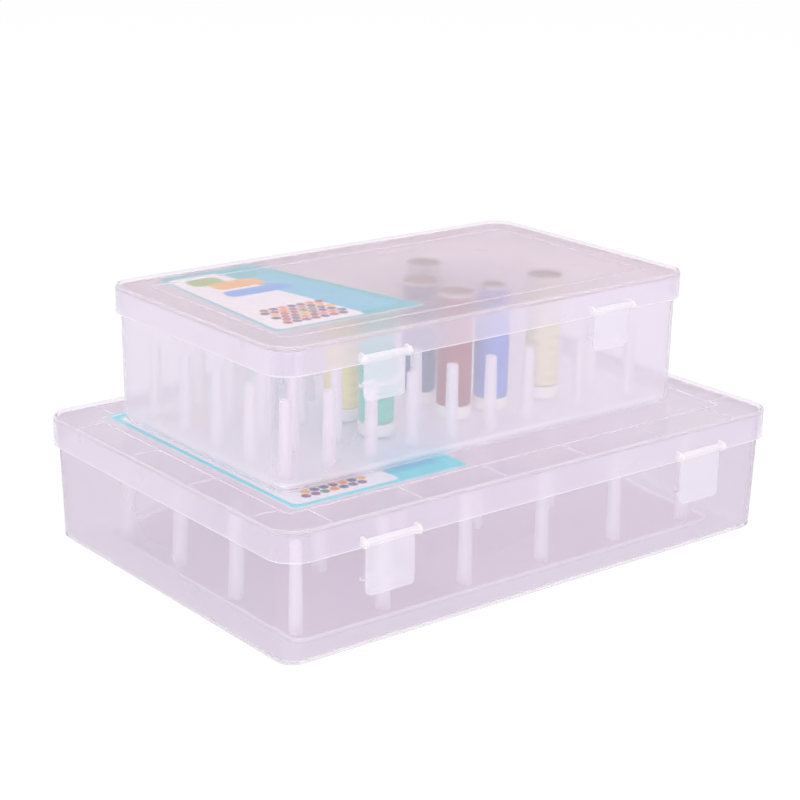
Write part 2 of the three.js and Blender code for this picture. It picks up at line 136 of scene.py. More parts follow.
CORNER_FACETS = 12
ROUND_FACETS = 6  # facets in a quarter turn of a small round
ROD_FACETS = 24
END_ROUND = ((0, 1), (0.3, 0.3), (1, 0))  # in from the end and in from the side, as shares
LEAST_RADIUS = 0.05
SHARP_EDGE = math.radians(32)
MERGE_DISTANCE = 0.002


def case_sizes(name, depth, corner, skirt, foot_inset, tray_inset, latch_inset, flap, hinge_inset):
    """Sizes of one case in millimetres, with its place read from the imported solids."""
    lid_low, lid_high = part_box(name + "_lid")
    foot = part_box(name + "_case")[0].z
    case = SimpleNamespace(name=name, depth=depth, corner=corner, foot_inset=foot_inset)
    case.length = (lid_high.x - lid_low.x) / MM
    case.height = (lid_high.z - foot) / MM
    case.x = (lid_low.x + lid_high.x) / 2 / MM
    case.y = lid_low.y / MM + LATCH_REACH + LATCH_LUG + depth / 2
    case.z = foot / MM
    case.panel_top = case.height - LID_RIM_HEIGHT
    case.panel_under = case.panel_top - LID_WALL
    case.rim_top = case.panel_under - CLEARANCE
    case.rim_inset = LID_WALL + LID_PLAY
    case.skirt_end = case.height - skirt
    case.tray_inset = tray_inset
    case.flap_width, case.flap_length = flap
    case.latches = (latch_inset - case.length / 2, case.length / 2 - latch_inset)
    case.hinges = (hinge_inset - case.length / 2, case.length / 2 - hinge_inset)
    case.pivot = (-depth / 2 - LATCH_REACH, case.skirt_end + LATCH_RISE)
    case.axis = (depth / 2 + HINGE_REACH, case.skirt_end)
    return case


def wall_inset(case, z):
    """How far the drafted outer wall stands inside the lid outline at a height."""
    lean = (case.foot_inset - case.rim_inset) / case.rim_top
    return case.rim_inset + lean * (case.rim_top - z)


def inside(case, inset, corner=None):
    """The outline of a case taken in all round, as length, depth and corner radius."""
    return (case.length - 2 * inset, case.depth - 2 * inset, corner or case.corner - inset)


def arc(u, v, radius, start, end, facets=ROUND_FACETS):
    """Points of an arc in a section, from one angle to another in degrees."""
    turns = [math.radians(start + (end - start) * i / facets) for i in range(facets + 1)]
    return [(u + radius * math.cos(a), v + radius * math.sin(a)) for a in turns]


def rod(radius):
    """Points of a whole circle round the origin of a section."""
    return arc(0, 0, radius, 0, 360 - 360 / ROD_FACETS, ROD_FACETS - 1)


def round_rectangle(half_x, half_y, radius, facets):
    """Points of a rectangle with rounded corners, round the origin of a section."""
    points = []
    for side_x, side_y, start in ((1, -1, -90), (1, 1, 0), (-1, 1, 90), (-1, -1, 180)):
        x = side_x * (half_x - radius)
        y = side_y * (half_y - radius)
        points += arc(x, y, radius, start, start + 90, facets)
    return points


def ring(case, rect, inset, z):
    """One round-cornered rectangle of points, a distance inside rect, at a height."""
    length, depth, corner = rect
    radius = max(corner - inset, LEAST_RADIUS)
    outline = round_rectangle(length / 2 - inset, depth / 2 - inset, radius, CORNER_FACETS)
    return [(case.x + x, case.y + y, case.z + z) for x, y in outline]


def loft(rings, closed=False):
    """Skins a list of rings. An open loft gets a flat face over its first and last ring."""
    count = len(rings[0])
    points = [point for one in rings for point in one]
    faces = []
    for level_index in range(len(rings) if closed else len(rings) - 1):
        low = level_index * count
        high = (level_index + 1) % len(rings) * count
        for i in range(count):
            j = (i + 1) % count
            faces.append((low + i, low + j, high + j, high + i))
    if not closed:
        last = (len(rings) - 1) * count
        faces.append(tuple(reversed(range(count))))
        faces.append(tuple(range(last, last + count)))
    return points, faces


def swept(case, rect, section, closed=False):
    """Carries a section of (inset, height) points round a rectangle."""
    return loft([ring(case, rect, inset, z) for inset, z in section], closed)


def shrunk(outline, distance):
    """An outline moved inwards by a distance at every point, and less at very sharp ones."""
    area = 0
    for (ax, ay), (bx, by) in zip(outline, outline[1:] + outline[:1]):
        area += ax * by - bx * ay
    sign = 1 if area > 0 else -1
    moved = []
    for i, (x, y) in enumerate(outline):
        px, py = outline[i - 1]
        nx, ny = outline[(i + 1) % len(outline)]
        before = Vector((y - py, px - x)).normalized()
        after = Vector((ny - y, x - nx)).normalized()
        way = before + after
        reach = distance / max(0.35, way.length_squared / 2)
        moved.append((x - sign * way.x * reach, y - sign * way.y * reach))
    return moved


def bar(case, outline, width, x, origin, facing, edge=0.3):
    """A section of (outward, up) points extruded along X with its end edges rounded."""
    ends = [(-width / 2 + edge * near, edge * inset) for near, inset in END_ROUND]
    ends += [(-place, inset) for place, inset in reversed(ends)]
    rings = []
    for place, inset in ends:
        section = shrunk(outline, inset) if inset else outline
        rings.append(
            [
                (case.x + x + place, case.y + origin[0] + facing * u, case.z + origin[1] + v)
                for u, v in section
            ]
        )
    return loft(rings)


def together(parts):
    """Several closed shapes as one list of points and faces."""
    points, faces = [], []
    for part_points, part_faces in parts:
        start = len(points)
        points += part_points
        faces += [tuple(start + i for i in face) for face in part_faces]
    return points, faces


def new_piece(name, shape):
    """An object from points in millimetres and faces, smooth but for its sharp edges."""
    points, faces = shape
    mesh = bpy.data.meshes.new(name)
    mesh.from_pydata([Vector(point) * MM for point in points], [], faces)
    tidy_mesh(mesh)
    piece = bpy.data.objects.new(name, mesh)
    bpy.context.scene.collection.objects.link(piece)
    return piece


def tidy_mesh(mesh):
    """Turns the faces outwards and shades them smooth but for sharp edges."""
    work = bmesh.new()
    work.from_mesh(mesh)
    bmesh.ops.remove_doubles(work, verts=work.verts, dist=MERGE_DISTANCE * MM)
    bmesh.ops.recalc_face_normals(work, faces=work.faces)
    work.to_mesh(mesh)
    work.free()
    mesh.shade_smooth()
    mesh.set_sharp_from_angle(angle=SHARP_EDGE)


def combine(piece, shapes, operation="UNION"):
    """Joins shapes to a piece, or cuts them from it, as one closed mesh."""
    tool = new_piece(piece.name + "_tool", together(shapes))
    step = piece.modifiers.new("step", "BOOLEAN")
    step.operation = operation
    step.solver = "MANIFOLD"
    step.object = tool
    bpy.context.view_layer.update()
    shaped = piece.evaluated_get(bpy.context.evaluated_depsgraph_get())
    mesh = bpy.data.meshes.new_from_object(shaped)
    mesh.materials.clear()
    piece.modifiers.clear()
    piece.data = mesh
    bpy.data.objects.remove(tool)
    tidy_mesh(mesh)
    return piece


def shell_section(case):
    """The wall from the middle of the underside, over the rim, to the middle of the floor."""
    foot = case.foot_inset
    inner = foot + WALL
    return [
        (foot + FOOT_FILLET + FOOT_RING + FOOT_RECESS, FOOT_RECESS),
        (foot + FOOT_FILLET + FOOT_RING, 0),
        *arc(foot + FOOT_FILLET, FOOT_FILLET, FOOT_FILLET, 270, 180),
        *arc(case.rim_inset + RIM_ROUND, case.rim_top - RIM_ROUND, RIM_ROUND, 180, 90, 3),
        *arc(case.rim_inset + WALL - RIM_ROUND, case.rim_top - RIM_ROUND, RIM_ROUND, 90, 0, 3),
        *arc(inner + FLOOR_FILLET, FLOOR + FLOOR_FILLET, FLOOR_FILLET, 180, 270),
    ]


def tray_rib(case):
    """The low rib on the floor that keeps the peg tray in its place."""
    outer = -CLEARANCE - TRAY_RIB_WIDTH
    half = TRAY_RIB_WIDTH / 2
    crown = arc(outer + half, FLOOR + TRAY_RIB_HEIGHT - half, half, 180, 0)
    section = [(outer, FLOOR - WELD), *crown, (-CLEARANCE, FLOOR - WELD)]
    return swept(case, inside(case, case.tray_inset, TRAY_CORNER), section, closed=True)


def hinge_lugs(case, x):
    """The two lugs that hold a hinge bar off the back wall."""
    wall = -(HINGE_REACH + wall_inset(case, case.skirt_end) + WELD)
    foot = -(HINGE_REACH + wall_inset(case, case.skirt_end - HINGE_LUG_DROP) + WELD)
    top = math.degrees(math.asin(HINGE_LUG_TOP / HINGE_BAR))
    outline = [(foot, -HINGE_LUG_DROP), *arc(0, 0, HINGE_BAR, -90, 180 + top, ROD_FACETS * 3 // 4)]
    outline.append((wall, -HINGE_LUG_TOP))
    offset = HINGE_CLIP_WIDTH / 2 + CLEARANCE + HINGE_LUG_WIDTH / 2
    return [
        bar(case, outline, HINGE_LUG_WIDTH, x + side * offset, case.axis, TO_BACK)
        for side in (-1, 1)
    ]


def hinge_bar(case, x):
    """The round bar that the clip of the lid turns on."""
    length = HINGE_CLIP_WIDTH + 2 * CLEARANCE + HINGE_LUG_WIDTH
    return bar(case, rod(HINGE_BAR), length, x, case.axis, TO_BACK)


def latch_catch(case, x):
    """The ledge on the front wall that the hook of a latch holds."""
    bottom = -case.flap_length + LATCH_HOOK_RISE + LATCH_HOOK_HEIGHT + CLEARANCE
    wall = -LATCH_REACH - wall_inset(case, case.pivot[1] + bottom) - WELD
    nose = -LATCH_REACH - CATCH_SETBACK
    outline = [
        (wall, bottom),
        (nose - CATCH_BEVEL, bottom),
        (nose, bottom + CATCH_BEVEL),
        (nose, bottom + CATCH_HEIGHT / 3),
        (wall + WELD, bottom + CATCH_HEIGHT),
        (wall, bottom + CATCH_HEIGHT),
    ]
    return bar(case, outline, case.flap_width, x, case.pivot, TO_FRONT)


def linear(code):
    """An sRGB hex colour as linear red, green, blue and alpha."""
    parts = [int(code[i : i + 2], 16) / 255 for i in (1, 3, 5)]
    return [c / 12.92 if c <= 0.04045 else ((c + 0.055) / 1.055) ** 2.4 for c in parts] + [1]


def add_node(material, kind, inputs=None, **settings):
    """Adds one node. Inputs are values, or sockets to link from, by name or number."""
    tree = material.node_tree
    node = tree.nodes.new(kind)
    for key, value in settings.items():
        setattr(node, key, value)
    for key, value in (inputs or {}).items():
        if isinstance(value, bpy.types.NodeSocket):
            tree.links.new(value, node.inputs[key])
        else:
            node.inputs[key].default_value = value
    return node


def new_material(name):
    """An empty node material."""
    material = bpy.data.materials.new(name)
    material.use_nodes = True
    material.node_tree.nodes.clear()
    return material


def seen_ray(material):
    """A socket that is 1 for rays from the camera, off a gloss or through glass."""
    path = add_node(material, "ShaderNodeLightPath")
    seen = path.outputs["Is Camera Ray"]
    for ray in ("Is Glossy Ray", "Is Transmission Ray"):
        either = add_node(
            material, "ShaderNodeMath", {0: seen, 1: path.outputs[ray]}, operation="MAXIMUM"
        )
        seen = either.outputs["Value"]
    return seen


def per_metre(millimetres):
    """Texture scale that gives features of about this size."""
    return 1 / (millimetres * MM)


def mottled(material, mottle, colours, gloss, relief, depth, strength, more=None):
    """A glossy surface whose colour and gloss drift with one pattern, embossed by another."""
    colour = add_node(
        material, "ShaderNodeMix", {0: mottle, 6: colours[0], 7: colours[1]}, data_type="RGBA"
    )
    satin = add_node(
        material, "ShaderNodeMapRange", {"Value": mottle, "To Min": gloss[0], "To Max": gloss[1]}
    )
    bump = add_node(
        material, "ShaderNodeBump", {"Height": relief, "Distance": depth * MM, "Strength": strength}
    )
    look = {
        "Base Color": colour.outputs[2],
        "Roughness": satin.outputs["Result"],
        "Normal": bump.outputs["Normal"],
    }
    return add_node(material, "ShaderNodeBsdfPrincipled", {**look, **(more or {})})


PLASTIC_FLOW = 40  # mm
PLASTIC_GRAIN = 0.9
LIGHT_SHARE = 0.08  # how much of its cloudiness a wall has for light on its way to the rest
HAZE_IOR = 1.12  # low, so that a wall blurs what stands well behind it but doesn't bend it


# Natural polypropylene, injection moulded in a fine-sparked tool: milky and see-through, with
# a soft satin sheen. The grain of the tool is about 0.3 mm and is drawn at 0.9 mm so that it
# shows; flow lines from filling are some 40 mm long. Cloudy says how milky the wall is square
# on and edge on, passes tints what is seen through it, haze blurs that, and scatter is the
# share of it that a textured wall spreads like ground glass.
def natural_polypropylene(name, tints, passes, cloudy, roughness, haze, scatter=0.0):
    material = new_material("natural polypropylene, " + name)
    place = add_node(material, "ShaderNodeTexCoord").outputs["Object"]
    flow = add_node(
        material,
        "ShaderNodeTexNoise",
        {"Vector": place, "Scale": per_metre(PLASTIC_FLOW), "Detail": 3.0, "Roughness": 0.5},
    )
    grain = add_node(
        material,
        "ShaderNodeTexNoise",
        {"Vector": place, "Scale": per_metre(PLASTIC_GRAIN), "Detail": 2.0},
    )
    plastic = mottled(
        material,
        flow.outputs["Fac"],
        [linear(tint) for tint in tints],
        (roughness - 0.05, roughness + 0.08),
        grain.outputs["Fac"],
        depth=0.03,
        strength=0.35,
        more={"IOR": 1.49},
    )
    facing = add_node(material, "ShaderNodeLayerWeight", {"Blend": 0.35})
    cloud = add_node(
        material,
        "ShaderNodeMapRange",
        {"Value": facing.outputs["Facing"], "To Min": cloudy[0], "To Max": cloudy[1]},
    )
    path = add_node(material, "ShaderNodeLightPath")
    ray = add_node(
        material,
        "ShaderNodeMath",
        {0: path.outputs["Is Shadow Ray"], 1: path.outputs["Is Diffuse Ray"]},
        operation="MAXIMUM",
    )
    lit = add_node(
        material,
        "ShaderNodeMapRange",
        {"Value": ray.outputs["Value"], "To Min": 1.0, "To Max": LIGHT_SHARE},
    )
    cover = add_node(
        material,
        "ShaderNodeMath",
        {0: cloud.outputs["Result"], 1: lit.outputs["Result"]},
        operation="MULTIPLY",
    )
    haze = add_node(
        material,
        "ShaderNodeBsdfGlass",
        {"Color": linear(passes), "Roughness": haze, "IOR": HAZE_IOR},
        distribution="MULTI_GGX",
    )
    through = haze.outputs["BSDF"]
    if scatter:
        spread = add_node(material, "ShaderNodeBsdfTranslucent", {"Color": linear(passes)})
        through = add_node(
            material, "ShaderNodeMixShader", {0: scatter, 1: through, 2: spread.outputs["BSDF"]}
        ).outputs["Shader"]
    clear = add_node(material, "ShaderNodeBsdfTransparent", {"Color": (1, 1, 1, 1)})
    behind = add_node(
        material,
        "ShaderNodeMixShader",
        {0: seen_ray(material), 1: clear.outputs["BSDF"], 2: through},
    )
    wall = add_node(
        material,
        "ShaderNodeMixShader",
        {0: cover.outputs["Value"], 1: behind.outputs["Shader"], 2: plastic.outputs["BSDF"]},
    )
    add_node(material, "ShaderNodeOutputMaterial", {"Surface": wall.outputs["Shader"]})
    return material


TRAY_CORNER = 6.0
LOWER = case_sizes(
    "lower",
    depth=239,
    corner=16,
    skirt=17.4,
    foot_inset=4.5,
    tray_inset=25,
    latch_inset=63.7,
    flap=(31, 29),
    hinge_inset=65,
)
UPPER = case_sizes(
    "upper",
    depth=169,
    corner=15.5,
    skirt=16,
    foot_inset=3.7,
    tray_inset=9.5,
    latch_inset=65,
    flap=(26.5, 23.1),
    hinge_inset=55.5,
)
BOTH = (LOWER, UPPER)

LOWER.plastic = natural_polypropylene(
    "lower case", ("#e2dae8", "#dbd3e2"), "#fbf8fb", (0.2, 0.44), roughness=0.32, haze=0.07
)
UPPER.plastic = natural_polypropylene(
    "upper case", ("#fdf9ff", "#f7f3fd"), "#faf6fb", (0.15, 0.68), roughness=0.32, haze=0.06
)
thick_plastic = natural_polypropylene(
    "thick edge", ("#fffbff", "#f8f2fa"), "#ffffff", (0.45, 0.85), roughness=0.24, haze=0.2
)
for case in BOTH:
    shell = new_piece(case.name + "_shell", swept(case, inside(case, 0), shell_section(case)))
    combine(shell, [tray_rib(case)])
    combine(shell, [lug for x in case.hinges for lug in hinge_lugs(case, x)])
    combine(shell, [hinge_bar(case, x) for x in case.hinges])
    combine(shell, [latch_catch(case, x) for x in case.latches])
    shell.data.materials.append(case.plastic)
    shell.data.materials.append(thick_plastic)
    for face in shell.data.polygons:  # the rib round the tray
        x = abs(face.center.x / MM - case.x) - case.length / 2 + case.tray_inset
        y = abs(face.center.y / MM - case.y) - case.depth / 2 + case.tray_inset
        up = face.center.z / MM - case.z - FLOOR
        if 0.1 < up < TRAY_RIB_HEIGHT + 0.1 and max(x, y) < TRAY_RIB_WIDTH + 1:
            face.material_index = 1
    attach(shell, case.name + "_case")
    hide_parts(case.name + "_case")

# ---------------------------------------------------------------- peg trays
# A flat plate with a grid of tapered, hollow pegs that the spools stand on, moulded in one
# piece from the same polypropylene and dropped onto the floor of each case.

TRAY_THICKNESS = 1.2
TRAY_EDGE = 0.4
PEG_FLARE = 0.5
PEG_LIP = 0.25
PEG_BORE_TAPER = 0.8
LATHE_FACETS = 20


def turned(case, profile, x, y, z=0.0, facets=LATHE_FACETS):
    """A closed solid turned about an upright axis from (radius, height) points."""
    points, faces, rows = [], [], []
    for radius, height in profile:
        row = []
        if radius < 1e-6:
            points.append((case.x + x, case.y + y, case.z + z + height))
            row = [len(points) - 1] * facets
        else:
            for i in range(facets):
                a = 2 * math.pi * i / facets
                px = case.x + x + radius * math.cos(a)
                py = case.y + y + radius * math.sin(a)
                points.append((px, py, case.z + z + height))
                row.append(len(points) - 1)
        rows.append(row)
    for low, high in zip(rows, rows[1:]):
        for i in range(facets):
            j = (i + 1) % facets
            corners = dict.fromkeys((low[i], low[j], high[j], high[i]))
            if len(corners) > 2:
                faces.append(tuple(corners))
    return points, faces


def peg_places(case, columns, rows, left, right, front, back, wide=()):
    """Centres of the pegs by rows, front row first. The last gaps along X may be wider."""
    length, depth, _ = inside(case, case.tray_inset)
    even = columns - 1 - len(wide)
    gap_x = (length - left - right - sum(wide)) / even
    gap_y = (depth - front - back) / (rows - 1)
    along = [-length / 2 + left + column * gap_x for column in range(even + 1)]
    for gap in wide:
        along.append(along[-1] + gap)
    across = [-depth / 2 + front + row * gap_y for row in range(rows)]
    return [[(x, y) for x in along] for y in across]


def peg(case, x, y, foot, top, bore, height, bore_depth):
    """A tapered peg with a small flare at its foot and a blind bore from the top."""
    flare = PEG_FLARE
    lip = PEG_LIP
    profile = [
        (0, case.tray_top - WELD),
        (foot + flare, case.tray_top - WELD),
        *[(foot + flare + u, v) for u, v in arc(0, case.tray_top + flare, flare, 270, 180, 3)],
        *arc(top - lip, height - lip, lip, 0, 90, 3),
        *arc(bore + lip, height - lip, lip, 90, 180, 3),
        (bore * PEG_BORE_TAPER, height - bore_depth),
        (0, height - bore_depth),
    ]
    return turned(case, profile, x, y)


for case in BOTH:
    case.tray_top = FLOOR + CLEARANCE + TRAY_THICKNESS
LOWER.pegs = peg_places(LOWER, 6, 4, left=5.5, right=13.5, front=8.6, back=13.5)
LOWER.peg = dict(foot=4.2, top=3.45, bore=2.2, height=52.5, bore_depth=42)
UPPER.pegs = peg_places(
    UPPER, 9, 5, left=6.9, right=20.1, front=9, back=15.4, wide=(39.3, 39.3)
)
UPPER.peg = dict(foot=3.8, top=3.15, bore=2.1, height=45.5, bore_depth=36)

LOWER.tray_plastic = natural_polypropylene(
    "lower tray", ("#e9d8e7", "#e2d0e1"), "#fefcfd", (0.2, 0.5), roughness=0.38, haze=0.3
)
UPPER.tray_plastic = natural_polypropylene(
    "upper tray", ("#f6f0fb", "#f0e9f7"), "#ffffff", (0.2, 0.5), roughness=0.38, haze=0.3
)
LOWER.peg_plastic = natural_polypropylene(
    "lower pegs", ("#fff9ff", "#faf3fb"), "#ffffff", (0.55, 0.95), roughness=0.38, haze=0.1
)
UPPER.peg_plastic = natural_polypropylene(
    "upper pegs", ("#f9f1fa", "#f2e8f3"), "#ffffff", (0.42, 0.95), roughness=0.38, haze=0.1
)
for case in BOTH:
    low = case.tray_top - TRAY_THICKNESS
    plate_edge = [
        (TRAY_EDGE, low),
        (0, low + TRAY_EDGE),
        *arc(TRAY_EDGE, case.tray_top - TRAY_EDGE, TRAY_EDGE, 180, 90, 3),
    ]
    outline = inside(case, case.tray_inset, TRAY_CORNER)
    tray = new_piece(case.name + "_tray", swept(case, outline, plate_edge))
    combine(tray, [peg(case, x, y, **case.peg) for row in case.pegs for x, y in row])
    tray.data.materials.append(case.tray_plastic)
    tray.data.materials.append(case.peg_plastic)
    for face in tray.data.polygons:
        on_peg = face.center.z > (case.z + case.tray_top + PEG_FLARE / 2) * MM
        on_rim = abs(face.normal.z) < 0.9 and face.center.z < (case.z + case.tray_top) * MM
        if on_peg or on_rim:
            face.material_index = 1
    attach(tray, case.name + "_case")
    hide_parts(case.name + "_peg_tray")

# ---------------------------------------------------------------- lids
# Flat lids with a deep skirt that slips over the case, moulded in clear polypropylene with a
# fine texture on the underside. A raised edge and a raised line stiffen the top, clips behind
# snap over the hinge bars, and two ears in front carry each latch pin.

LID_RIM_WIDTH = 2.4
LID_EDGE_ROUND = 1.5
LID_INNER_FILLET = 0.9
LID_RIM_ROUND = 0.4
LID_RIM_SLOPE = 0.9
SKIRT_ROUND = 0.6
BEAD_WIDTH = 1.6
BEAD_HEIGHT = 0.6
BEAD_CORNER = 4.0
CRUSH_RIB_WIDTH = 3.2
CRUSH_RIB_HEIGHT = 5.0
CRUSH_RIB_DEPTH = 0.32
CRUSH_RIB_LEAD = 0.6
CRUSH_RIB_SHIFT = -4.0  # from the middle of each latch
CRUSH_RIB_MIDDLE = -5.0
HINGE_PLAY = 0.35
HINGE_CLIP_WALL = 1.95
HINGE_WEB = 1.9
HINGE_WEB_TOP = 7.0
LATCH_PIN = 1.2
LATCH_PIN_PLAY = 0.3
LATCH_LUG_WIDTH = 2.45

BORDER_RIB_PITCH = 57.0
LOWER.line_inset = (19.6, 25.5)  # raised line from the ends and from the front and back
UPPER.line_inset = (17.0, 19.5)


def lid_section(case):
    """The lid from the middle of its underside, round the skirt, to the middle of its top."""
    fillet = LID_INNER_FILLET
    edge = LID_EDGE_ROUND
    rim = LID_RIM_ROUND
    foot = SKIRT_ROUND
    return [
        *arc(LID_WALL + fillet, case.panel_under - fillet, fillet, 90, 180, 4),
        *arc(LID_WALL - foot, case.skirt_end + foot, foot, 0, -90, 4),
        *arc(foot, case.skirt_end + foot, foot, 270, 180, 4),
        *arc(edge, case.height - edge, edge, 180, 90, 6),
        *arc(LID_RIM_WIDTH - rim, case.height - rim, rim, 90, 20, 3),
        *arc(LID_RIM_WIDTH + LID_RIM_SLOPE, case.panel_top + rim, rim, 200, 270, 3),
    ]


def bead(middle, foot, facets):
    """The section of a low half-round line, sunk a little into the lid that carries it."""
    half = BEAD_WIDTH / 2
    turns = [math.pi * i / facets for i in range(facets + 1)]
    crown = [(middle - half * math.cos(a), foot + BEAD_HEIGHT * math.sin(a)) for a in turns]
    return [(middle - half, foot - WELD), *crown, (middle + half, foot - WELD)]


def raised_line(case):
    """The low half-round line that frames the middle of the lid."""
    end, side = case.line_inset
    outline = (case.length - 2 * end, case.depth - 2 * side, BEAD_CORNER)
    return swept(case, outline, bead(BEAD_WIDTH / 2, case.panel_top, 8), closed=True)


def border_rib(case, x, y, along_x, length):
    """A short low rib across the border of the lid."""
    rings = []
    for end in (-length / 2, length / 2):
        one = []
        for across, up in bead(0, 0, 6):
            along, aside = (end, across) if along_x else (across, end)
            height = case.z + (case.panel_top + up)
            one.append((case.x + (x + along), case.y + (y + aside), height))
        rings.append(one)
    return loft(rings)


def border_ribs(case):
    """Short ribs at an even pitch all round, from the raised edge to the raised line."""
    start = LID_RIM_WIDTH - WELD
    ribs = []
    for along_x, count in ((False, 6), (True, 4)):
        inset = case.line_inset[0] if along_x else case.line_inset[1]
        half = (case.length if along_x else case.depth) / 2
        length = inset + BEAD_WIDTH / 2 - start
        out = half - start - length / 2
        for i in range(count):
            place = (i - (count - 1) / 2) * BORDER_RIB_PITCH
            for side in (-1, 1):
                x, y = (side * out, place) if along_x else (place, side * out)
                ribs.append(border_rib(case, x, y, along_x, length))
    return ribs


def crush_rib(case, x):
    """A small upright rib inside the skirt that centres the lid on the case."""
    face = -case.depth / 2 + LID_WALL
    outline = [
        (WELD, -CRUSH_RIB_HEIGHT),
        (WELD, 0),
        (-CRUSH_RIB_DEPTH, 0),
        (-CRUSH_RIB_DEPTH, -CRUSH_RIB_HEIGHT + CRUSH_RIB_LEAD),
    ]
    return bar(case, outline, CRUSH_RIB_WIDTH, x, (face, case.panel_under), TO_FRONT, edge=0.1)


def hinge_clip(case, x):
    """The open clip that snaps over the hinge bar, with the web that carries it."""
    bore = HINGE_BAR + HINGE_PLAY
    outer = bore + HINGE_CLIP_WALL
    outline = arc(0, 0, outer, -45, 225, ROD_FACETS) + arc(0, 0, bore, 225, -45, ROD_FACETS)
    return bar(case, outline, HINGE_CLIP_WIDTH, x, case.axis, TO_BACK, edge=0.35)


def hinge_web(case, x):
    """The web that joins a hinge clip to the back of the skirt."""
    bore = HINGE_BAR + HINGE_PLAY
    skirt = -HINGE_REACH - LID_WALL / 2
    outline = [
        (skirt, bore + WELD),
        (bore - 1, bore + WELD),
        (0, bore + WELD + HINGE_WEB),
        (-HINGE_REACH + WELD, HINGE_WEB_TOP),
        (skirt, HINGE_WEB_TOP),
    ]
    return bar(case, outline, HINGE_CLIP_WIDTH, x, case.axis, TO_BACK, edge=0.35)


def latch_ear(case, x):
    """An ear on the front of the skirt that one end of the latch pin sits in."""
    skirt = -LATCH_REACH - WELD
    outline = [(skirt, -LATCH_LUG), *arc(0, 0, LATCH_LUG, -90, 90, 16), (skirt, LATCH_LUG + WELD)]
    return bar(case, outline, LATCH_LUG_WIDTH, x, case.pivot, TO_FRONT, edge=0.4)


def pin_hole(case, x):
    """The hole for the latch pin, as a shape to cut."""
    outline = rod(LATCH_PIN + LATCH_PIN_PLAY)
    return bar(case, outline, LATCH_LUG_WIDTH + 1, x, case.pivot, TO_FRONT, edge=0.01)


lid_plastic = natural_polypropylene(
    "lid", ("#eee1f0", "#e8d9eb"), "#fffefe", (0.12, 0.2), roughness=0.24, haze=0.15
)
skirt_plastic = natural_polypropylene(
    "skirt", ("#f6f0fc", "#efe8f7"), "#fefbfe", (0.23, 0.5), roughness=0.28, haze=0.12
)
# The raised edge and lines are milkier, as thicker plastic is, and their lighter colour is also a
# painted highlight along them.
milky_line_and_painted_highlight = natural_polypropylene(
    "raised line", ("#faf1fa", "#f4eaf5"), "#ffffff", (0.4, 0.75), roughness=0.42, haze=0.2
)
LOWER.underside = (("#f9ecfb", "#f4e5f7"), "#fdf9ff")  # tints, and what passes through
UPPER.underside = (("#f5dae6", "#f0d2df"), "#fdf5f8")
for case in BOTH:
    lid_underside = natural_polypropylene(
        f"textured underside, {case.name} lid",
        *case.underside,
        (0.12, 0.24),
        roughness=0.4,
        haze=0.55,
        scatter=0.55,
    )
    lid = new_piece(case.name + "_cover", swept(case, inside(case, 0), lid_section(case)))
    combine(lid, [raised_line(case)])
    if case is LOWER:
        combine(lid, border_ribs(case))
    ear_offset = case.flap_width / 2 + CLEARANCE + LATCH_LUG_WIDTH / 2
    ears = [x + side * ear_offset for x in case.latches for side in (-1, 1)]
    combine(lid, [hinge_web(case, x) for x in case.hinges])
    combine(lid, [hinge_clip(case, x) for x in case.hinges])
    combine(lid, [latch_ear(case, x) for x in ears])
    combine(lid, [pin_hole(case, x) for x in ears], "DIFFERENCE")
    crush_ribs = [CRUSH_RIB_MIDDLE] + [x + CRUSH_RIB_SHIFT for x in case.latches]
    combine(lid, [crush_rib(case, x) for x in sorted(crush_ribs)])
    for plastic in (lid_plastic, lid_underside, thick_plastic, milky_line_and_painted_highlight, skirt_plastic):
        lid.data.materials.append(plastic)
    for face in lid.data.polygons:
        up = face.center.z / MM - case.z
        front = case.y - case.depth / 2 - face.center.y / MM
        if up < case.skirt_end + SKIRT_ROUND or front > 0.2:  # end of the skirt, and the ears
            face.material_index = 2
        # raised edge and lines: milkier plastic with a painted highlight
        elif up > case.height - LID_EDGE_ROUND and face.normal.z < 0.98:  # raised edge and lines
            face.material_index = 3
        elif abs(face.normal.z) < 0.3 and abs(front) < case.depth + HINGE_REACH:  # skirt
            face.material_index = 4
        elif face.normal.z < -0.3 and up > case.panel_under - 1:  # underside
            face.material_index = 1
    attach(lid, case.name + "_lid")
    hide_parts(case.name + "_lid")

# ---------------------------------------------------------------- latches
# Each latch is one polypropylene moulding: a grooved knuckle on a pin that sits in both ears
# of the lid, a thin flap with a turned-out finger lip, and a hook on its back that snaps under
# the catch on the case.

LATCH_KNUCKLE = 2.2
LATCH_PLATE = 1.7
LATCH_STANDOFF = 0.6
LATCH_LIP = 1.2
LATCH_LIP_HEIGHT = 4.0
LATCH_HOOK_DEPTH = 2.2
FLAP_CORNER = 3.2
FLAP_EDGE = 0.55
FLAP_TIP = 0.5  # the last of the lip, where the flap is thinner
FLAP_TIP_SHARE = 0.45
LIP_STEPS = 8
GRIP_DEPTH = 0.28
GRIP_LINES = (22.5, 60)  # degrees up from straight ahead
GRIP_HALF_WIDTH = 4
KNUCKLE_FACETS = 48
HOOK_ROOT = 0.5
HOOK_NARROWING = 4


def flap_ring(case, x, centre, normal, half_width, half_plate):
    """One cross-section of the flap: a rectangle with rounded long edges."""
    edge = min(FLAP_EDGE, half_plate * 0.98, half_width * 0.98)  # keeps a sliver of flat face
    points = []
    for u, v in round_rectangle(half_width, half_plate, edge, 4):
        y = case.pivot[0] - (centre[0] + v * normal[0])
        up = centre[1] + v * normal[1]
        points.append((case.x + x + u, case.y + y, case.z + case.pivot[1] + up))
    return points


